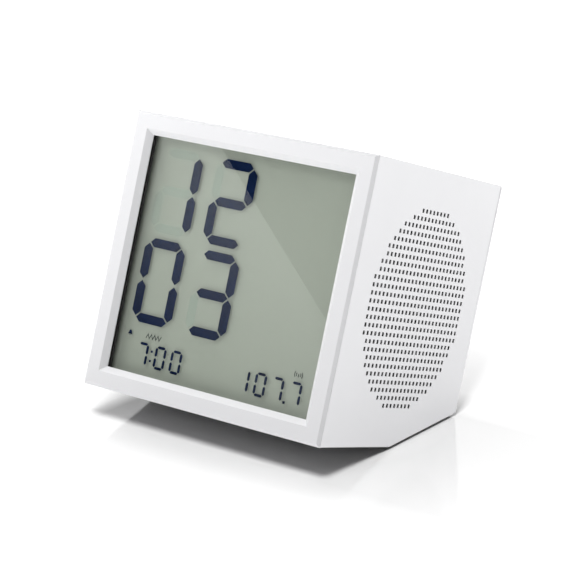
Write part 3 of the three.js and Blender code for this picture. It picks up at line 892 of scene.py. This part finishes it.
def make_buttons():
    """Round setting buttons: dished cap with a rolled edge, flange and stem."""
    for node, body in BUTTONS.items():
        low, high = case_box(node)
        centre = (low.x + high.x) / 2, 0, (low.z + high.z) / 2
        top, foot, cap, roll_radius = high.y, low.y, BUTTON["cap"], BUTTON["roll"]
        stem, flange, ease = BUTTON["stem"], BUTTON["flange"], BUTTON["ease"]
        start, end = BUTTON["flange_start"], BUTTON["flange_end"]
        floor = top - BUTTON["dish"]
        roll = [(cap - roll_radius * (1 - math.cos(a)), top - roll_radius * (1 - math.sin(a)))
                for a in np.linspace(0, math.pi / 2, 6)]
        dish = [(r, top - BUTTON["dish"] * (1 - (r / BUTTON["dish_radius"]) ** 2))
                for r in (3.4, 2.8, 2.0, 1.0)]
        profile = [
            (0, foot), (stem - ease, foot), (stem, foot + ease), (stem, start),
            (flange - ease, start), (flange, start + ease), (flange, end - ease),
            (flange - ease, end), (cap + 0.1, end), (cap, end + 0.1), *roll, *dish, (0, floor),
        ]
        bm = bmesh.new()
        add_turned(bm, profile, centre, sides=56)
        piece(node + "_cap", bm, "key_white", body, [node])


def make_wheel():
    """Thumbwheel: rounded flutes round the rim, and a blind bore on the shaft's side."""
    low, high = case_box("volume_wheel")
    centre = (low + high) / 2
    radius = (high.z - low.z) / 2
    half = (high.x - low.x) / 2
    flutes, flute_depth = 36, 0.3

    def fluted(reach, angle):
        if reach < radius - 1.0:
            return reach
        return reach - flute_depth * (1 - math.cos(flutes * angle))

    profile = [
        (0, half - 1), (1.9, half - 1), (1.9, -half + 0.2), (2.1, -half), (5, -half),
        (5.3, -half + 0.3), (7, -half + 0.3), (7.3, -half), (radius - 1.1, -half),
        (radius - 0.25, -half + 0.35), (radius, -half + 0.8), (radius, half - 0.8),
        (radius - 0.25, half - 0.35), (radius - 1.1, half), (7.3, half), (7, half - 0.3),
        (5.3, half - 0.3), (5, half), (0, half),
    ]
    bm = bmesh.new()
    add_turned(bm, profile, centre, axis="x", sides=flutes * 8, radius_at=fluted)
    piece("volume_thumbwheel", bm, "black_plastic", "volume_knob", ["volume_wheel"])


def make_switch_knob():
    """Slide knob: a block with a ribbed thumb pad along its top."""
    low, high = case_box("mode_switch_knob")
    top = high.y
    ridge = 0.42
    outline = [(low.x, low.y), (high.x, low.y)]
    count = 7
    step = (high.x - low.x) / count
    crest = []
    for i in range(count):
        x = high.x - i * step
        crest += [(x - 0.08 * step, top - ridge), (x - 0.3 * step, top), (x - 0.7 * step, top),
                  (x - 0.92 * step, top - ridge)]
    outline += [(high.x, top - ridge), *crest, (low.x, top - ridge)]
    bm = bmesh.new()
    add_polygon(bm, outline, (low.z, high.z), axis="z")
    piece("mode_switch_cap", bm, "black_plastic", "mode_knob", ["mode_switch_knob"], soften=0.08)


THREAD = {"pitch": 0.5, "core": 0.78, "start": 0.4}
RECESS = {"wide": 0.55, "narrow": 0.14, "depth": 0.6, "floor": 0.36}     # as shares of the head


def cross_screw(name, node, head, shank, outwards_axis, sign):
    """Pan-head screw: domed head, cross recess and a threaded shank."""
    low, high = case_box(node)
    centre = (low + high) / 2
    index = "xyz".index(outwards_axis)
    tip = (low if sign > 0 else high)[index]
    crown = (high if sign > 0 else low)[index]
    length = abs(crown - tip)
    height = head["height"]
    profile = [(0, 0), (shank * 0.55, 0.15)]
    pitch, core = THREAD["pitch"], shank * THREAD["core"]
    for i in range(int((length - height - 0.6) / pitch)):
        root = THREAD["start"] + pitch * i
        profile += [(core, root), (shank, root + 0.2), (core, root + 0.4)]
    start = length - height
    profile += [(core, start), (head["radius"], start)]
    for a in np.linspace(0, math.pi / 2, 7)[1:-1]:
        profile.append((head["radius"] * math.cos(a * 0.75), start + height * math.sin(a)))
    profile += [(head["radius"] * RECESS["floor"], length), (0, length)]
    place = list(centre)
    place[index] = tip
    bm = bmesh.new()
    add_turned(bm, [(r, sign * a) for r, a in profile], place, axis=outwards_axis, sides=32)
    bmesh.ops.recalc_face_normals(bm, faces=bm.faces)
    wide, narrow = head["radius"] * RECESS["wide"], head["radius"] * RECESS["narrow"]
    others = [i for i in range(3) if i != index]
    for spans in ((narrow, wide), (wide, narrow)):
        lows, highs = list(place), list(place)
        lows[index], highs[index] = sorted((crown - sign * height * RECESS["depth"], crown + sign))
        for i, reach in zip(others, spans):
            lows[i] -= reach
            highs[i] += reach
        tool = bmesh.new()
        add_box(tool, lows, highs)
        bmesh.ops.recalc_face_normals(tool, faces=tool.faces)
        bm = combine(bm, tool, "DIFFERENCE")
    piece(name, bm, "tin_plate", replaces=[node])


def make_screws():
    for i in range(1, 5):
        rear = {"radius": 2.8, "height": 0.65}
        cross_screw(f"rear_screw_{i}_cross", f"rear_screw_{i}", rear, 1.1, "y", 1)
        small = {"radius": 2.6, "height": 1.5}
        cross_screw(f"speaker_screw_{i}_cross", f"speaker_screw_{i}", small, 0.95, "x", -1)


def make_door():
    """Battery door: thumb scoop from the CAD, three grip ribs and a raised arrow."""
    bm = copy_of("battery_door")
    piece("battery_door_panel", bm, "case_white", "door", ["battery_door"], soften=0.2, segments=3)
    face = case_box("battery_door")[1].y
    depths = (face - 0.3, face + 0.04)
    marks = bmesh.new()
    half_length, half_width, first, pitch = 6, 0.35, 36.0, 1.6
    for k in range(3):
        low, high = first - pitch * k - half_width, first - pitch * k + half_width
        rib = [(-half_length, low), (half_length, low), (half_length, high), (-half_length, high)]
        add_polygon(marks, rounded(rib, [0.3] * 4, 3), depths)
    arrow = [(0, 28.6), (2.2, 31.0), (-2.2, 31.0)]
    add_polygon(marks, arrow, depths)
    piece("battery_door_grips", marks, "case_white", "door")


def make_grommet():
    """Aerial grommet: rounded rubber lips over a groove."""
    low, high = case_box("aerial_grommet")
    centre = ((low.x + high.x) / 2, 0, (low.z + high.z) / 2)
    lip = (high.x - low.x) / 2
    top, foot = high.y, low.y
    groove, seat, face, bore_floor = 2.3, 97.5, 100.3, 98.5
    profile = [(0, foot), (lip - 0.4, foot), (lip, foot + 0.3), (lip, seat - 0.3),
               (lip - 0.3, seat), (groove, seat), (groove, face)]
    for a in np.linspace(-math.pi / 2, math.pi / 2, 8):
        profile.append((lip - 0.5 * (1 - math.cos(a)), face + (top - face) * (1 + math.sin(a)) / 2))
    profile += [(1.3, top), (0.8, top - 0.3), (0.7, bore_floor), (0, bore_floor)]
    bm = bmesh.new()
    add_turned(bm, profile, centre, sides=40)
    piece("aerial_grommet_lip", bm, "black_rubber", replaces=["aerial_grommet"])


def make_pad():
    """Base pad: a rubber strip with shallow cross grooves in its tread."""
    pad = {"width": 88.0, "start": 3.4, "length": 40.0, "proud": 0.8, "depth": 0.6}
    turn = Matrix.Translation((0, FACET["start"], 0)) @ Matrix.Rotation(LEAN, 4, "X")
    grooves = 15
    pitch = pad["length"] / grooves
    outline = [(pad["start"], pad["depth"])]
    for i in range(grooves):
        y = pad["start"] + i * pitch
        outline += [(y, -0.5), (y + 0.15 * pitch, -pad["proud"]),
                    (y + 0.75 * pitch, -pad["proud"]), (y + 0.9 * pitch, -0.5)]
    end = pad["start"] + pad["length"]
    outline += [(end, -0.5), (end, pad["depth"])]
    bm = bmesh.new()
    add_polygon(bm, outline, (-pad["width"] / 2, pad["width"] / 2), axis="x")
    bm.transform(turn)
    piece("base_pad_tread", bm, "black_rubber", replaces=["base_pad"])


# ---------------- inside


def ease_cad_nodes():
    """Small eased edges and a procedural finish on every CAD node that still shows."""
    slots = {m["slot"] for m in frame["record"]["materials"]}
    for name, node in frame["nodes"].items():
        if node.hide_render:
            continue
        slot = node.data.materials[0].name.split(".")[0]
        if slot not in slots:
            raise ValueError(f"{name} has no known slot: {slot}")
        for index in range(len(node.material_slots)):
            node.material_slots[index].link = "OBJECT"
            node.material_slots[index].material = materials[slot]
        weld = node.modifiers.new("weld", "WELD")
        weld.merge_threshold = CAD_EASE["weld"] * MM
        bevel = node.modifiers.new("ease", "BEVEL")
        bevel.width = CAD_EASE["width"] * MM
        bevel.segments = 2
        bevel.limit_method = "ANGLE"
        bevel.angle_limit = SHARP
        weighted = node.modifiers.new("weighted", "WEIGHTED_NORMAL")
        weighted.keep_sharp = False


# ---------------- stage


# Fitted to the photograph: metres, degrees from straight ahead, and millimetres of lens.
CAMERA = {"place": (0.3794, -0.6193, 0.2499), "azimuth": 31.6305, "pitch": -15.6923,
          "roll": 3.6721, "lens": 126.71, "sensor": 36.0}


def make_camera():
    data = bpy.data.cameras.new("camera")
    data.sensor_width = CAMERA["sensor"]
    data.lens = CAMERA["lens"]
    data.dof.use_dof = False
    data.clip_start, data.clip_end = 0.01, 100
    camera = added("camera", data)
    turn = Matrix.Rotation(math.radians(CAMERA["azimuth"]), 4, "Z")
    turn @= Matrix.Rotation(math.radians(90 + CAMERA["pitch"]), 4, "X")
    turn @= Matrix.Rotation(math.radians(CAMERA["roll"]), 4, "Z")
    camera.matrix_world = Matrix.Translation(CAMERA["place"]) @ turn
    bpy.context.scene.camera = camera


# Where each soft light stands round the radio: azimuth 0 is in front of it and 90 on its right.
SOFTBOXES = {
    "top": {"azimuth": 0, "elevation": 90, "distance": 1.1, "size": 0.6, "power": 7.4},
    "high_left": {"azimuth": -60, "elevation": 40, "distance": 0.45, "size": 0.3, "power": 0.85},
    "mid_front": {"azimuth": -24, "elevation": 40, "distance": 1.1, "size": 0.5, "power": 2.6},
    "right": {"azimuth": 127, "elevation": 10, "distance": 1.1, "size": 0.5, "power": 6.1},
}
# The floor has a light of its own, so that its shadow stays single and crisp, and the pad has
# one from below, so that its tread can be seen from underneath.
FLOOR_KEY = {"azimuth": 19, "elevation": 50, "distance": 1.1, "size": 0.28, "power": 25.0}
PAD_LIGHT = {"azimuth": 0, "elevation": -60, "distance": 0.7, "size": 0.3, "power": 14.0}
# What reflections see round the horizon, and how steeply up the band has halved.
HORIZON = {"band": 1.5, "start": 0.5, "end": 0.8}
FLOOR = {"colour": 0.46, "roughness": 0.1, "gap": 0.00002, "half": 12}
# The floor's glows: where each one starts and is full, in metres, and its strength. The first
# two go by the distance from the middle of the floor, the others by one axis.
FLOOR_GLOWS = {"near": (0.06, 0.12, 0.24), "far": (0.25, 0.8, 0.4), "front": (-0.055, -0.1, 0.35),
               "rear": (0.038, 0.065, 0.4), "left": (-0.049, -0.056, 0.3)}
GLARE = {"strength": 1.5, "edge": ((-25.5, 52.0), (52.0, -18.5))}
GLARE_FADE = {"left": -38.0, "foot": -30.0, "top": 40.0, "slant": -0.42}


def make_floor():
    """Pale glossy floor whose far part glows white, so that every view ends in white."""
    g = Graph("floor")
    flat = g.node("ShaderNodeSeparateXYZ", {0: g.place})
    inputs = {0: g.node("ShaderNodeCombineXYZ", {0: flat.outputs[0], 1: flat.outputs[1]}).outputs[0]}
    reach = g.node("ShaderNodeVectorMath", inputs, operation="LENGTH").outputs["Value"]

    def glow(value, name):
        start, end, strength = FLOOR_GLOWS[name]
        return g.ramp(value, start, end, 0.0, strength)

    round_glow = g.maths(glow(reach, "near"), glow(reach, "far"))
    end_glow = g.maths(glow(flat.outputs[1], "front"), glow(flat.outputs[1], "rear"))
    left_glow = glow(flat.outputs[0], "left")
    g.set(
        Base_Color=(FLOOR["colour"], FLOOR["colour"], FLOOR["colour"], 1),
        Roughness=FLOOR["roughness"],
        Emission_Color=(1, 1, 1, 1),
        Emission_Strength=g.maths(left_glow, g.maths(round_glow, end_glow)),
    )
    clear = g.node("ShaderNodeBsdfTransparent")
    under = g.node("ShaderNodeNewGeometry").outputs["Backfacing"]
    mix = g.node("ShaderNodeMixShader", {0: under, 1: g.shader.outputs[0], 2: clear.outputs[0]})
    g.tree.links.new(mix.outputs[0], g.output.inputs["Surface"])
    bm = bmesh.new()
    bmesh.ops.create_grid(bm, x_segments=1, y_segments=1, size=FLOOR["half"])
    floor = new_object("floor", mesh_from(bm, "floor"), g.material)
    floor.location.z = cad_low.z - FLOOR["gap"]
    return floor


def softbox(name, box):
    """A square soft light that faces the middle of the radio and isn't seen itself."""
    azimuth, elevation = math.radians(box["azimuth"]), math.radians(box["elevation"])
    flat = math.cos(elevation)
    towards = Vector((flat * math.sin(azimuth), -flat * math.cos(azimuth), math.sin(elevation)))
    data = bpy.data.lights.new(name, "AREA")
    data.size = box["size"]
    data.energy = box["power"]
    light = added(name, data)
    light.location = (cad_low + cad_high) / 2 + towards * box["distance"]
    light.rotation_mode = "QUATERNION"
    light.rotation_quaternion = towards.to_track_quat("Z", "Y")
    light.visible_camera = False
    return light


def linked(name, obj, state):
    """A light's list that holds one object only (INCLUDE), or all but that one (EXCLUDE)."""
    group = bpy.data.collections.new(name)
    group.objects.link(obj)
    group.collection_objects[0].light_linking.link_state = state
    return group


def make_lights(floor):
    all_but_floor = linked("all_but_floor", floor, "EXCLUDE")
    for name, box in SOFTBOXES.items():
        softbox(name, box).light_linking.receiver_collection = all_but_floor
    floor_key = softbox("floor_key", FLOOR_KEY)
    floor_key.light_linking.receiver_collection = linked("floor_only", floor, "INCLUDE")
    pad_light = softbox("pad_light", PAD_LIGHT)
    pad = bpy.data.objects["base_pad_tread"]
    pad_light.light_linking.receiver_collection = linked("pad_only", pad, "INCLUDE")
    pad_light.light_linking.blocker_collection = all_but_floor


CARD = {"distance": 0.7, "reach": 52.0, "lift": 0.002}


def card_sheet(name, points, lift, place, glow):
    """A flat black sheet in the card's own frame that shines with the strength glow(g)."""
    bm = bmesh.new()
    bm.faces.new([bm.verts.new((p.x, p.y, lift)) for p in points])
    g = Graph(name)
    g.set(
        Base_Color=(0, 0, 0, 1),
        Specular_IOR_Level=0.0,
        Emission_Color=(1, 1, 1, 1),
        Emission_Strength=glow(g),
    )
    card = new_object(name, mesh_from(bm, name), g.material)
    card.matrix_world = place
    for ray in ("camera", "diffuse", "shadow", "transmission"):
        setattr(card, "visible_" + ray, False)


def make_mirror_card():
    """What the front glass mirrors: a dark card with a bright sheet, cut along a slant."""
    turn = TO_ROW.to_3x3().normalized()
    normal = turn @ Vector((0, -1, 0))
    glass = case_box("lcd_front_glass")[0].y
    window = TO_ROW @ Vector((0, glass, HALF))
    eye = bpy.context.scene.camera.matrix_world.translation
    image = eye - 2 * (eye - window).dot(normal) * normal
    outward = (window - image).normalized()
    place = window + outward * CARD["distance"]
    across = turn @ Vector((1, 0, 0))
    across = (across - across.dot(outward) * outward).normalized()
    frame_of_card = Matrix((across, outward.cross(across), outward)).transposed().to_4x4()
    frame_of_card = Matrix.Translation(place) @ frame_of_card
    back = frame_of_card.inverted()

    def mirrored(x, z):
        """The point of the card that shows at a point of the glass."""
        ray = TO_ROW @ Vector((x, glass, HALF + z)) - image
        return back @ (image + ray * (place - image).dot(outward) / ray.dot(outward))

    r = CARD["reach"]
    dark = [(-r, -r), (r, -r), (r, r), (-r, r)]
    bright = [(-r, -r), (r, -r), GLARE["edge"][1], GLARE["edge"][0], (-r, r)]
    left, slant = GLARE_FADE["left"], GLARE_FADE["slant"]
    foot = mirrored(left, GLARE_FADE["foot"])
    along = mirrored(0, GLARE_FADE["foot"] - left * slant) - foot
    rise = Vector((-along.y, along.x, 0)).normalized()
    span = rise.dot(mirrored(left, GLARE_FADE["top"]) - foot)

    def fading(g):
        start = rise.dot(foot)
        return g.ramp(g.dot(g.place, rise), start, start + span, 0.0, GLARE["strength"])

    sheets = (
        ("dark_card", dark, 0.0, lambda g: 0.0),
        ("glare_card", bright, -CARD["lift"], fading),
    )
    for name, outline, lift, glow in sheets:
        card_sheet(name, [mirrored(x, z) for x, z in outline], lift, frame_of_card, glow)


def make_world():
    """White to the camera, a white band round the horizon to reflections, dark to the rest."""
    world = bpy.data.worlds.new("studio")
    bpy.context.scene.world = world
    world.use_nodes = True
    nodes, links = world.node_tree.nodes, world.node_tree.links
    nodes.remove(nodes["Background"])
    path = nodes.new("ShaderNodeLightPath")

    def background(strength):
        made = nodes.new("ShaderNodeBackground")
        made.inputs["Color"].default_value = (1, 1, 1, 1)
        made.inputs["Strength"].default_value = strength
        return made

    def choose(ray, otherwise, then):
        """One shader for one kind of ray, and another for the rest."""
        made = nodes.new("ShaderNodeMixShader")
        links.new(path.outputs[ray], made.inputs[0])
        links.new(otherwise.outputs[0], made.inputs[1])
        links.new(then.outputs[0], made.inputs[2])
        return made

    direction = nodes.new("ShaderNodeTexCoord").outputs["Generated"]
    split = nodes.new("ShaderNodeSeparateXYZ")
    links.new(direction, split.inputs[0])
    band = nodes.new("ShaderNodeMapRange")
    ramp = (HORIZON["start"], HORIZON["end"], HORIZON["band"], HORIZON["band"] / 2)
    for i, value in enumerate(ramp, start=1):
        band.inputs[i].default_value = value
    links.new(split.outputs[2], band.inputs[0])
    mirrored_band = background(0.0)
    links.new(band.outputs[0], mirrored_band.inputs["Strength"])
    glossy = choose("Is Glossy Ray", background(0.0), mirrored_band)
    seen = choose("Is Camera Ray", glossy, background(1.0))
    links.new(seen.outputs[0], nodes["World Output"].inputs["Surface"])


def set_tone():
    scene = bpy.context.scene
    scene.view_settings.view_transform = "Standard"
    scene.cycles.transparent_max_bounces = 32
    scene.cycles.max_bounces = 12
    scene.cycles.diffuse_bounces = 6


make_camera()
make_walls()
make_bezel()
make_display()
make_snooze()
make_buttons()
make_wheel()
make_switch_knob()
make_screws()
make_door()
make_grommet()
make_pad()
ease_cad_nodes()
make_lights(make_floor())
make_mirror_card()
make_world()
set_tone()
bpy.context.view_layer.update()
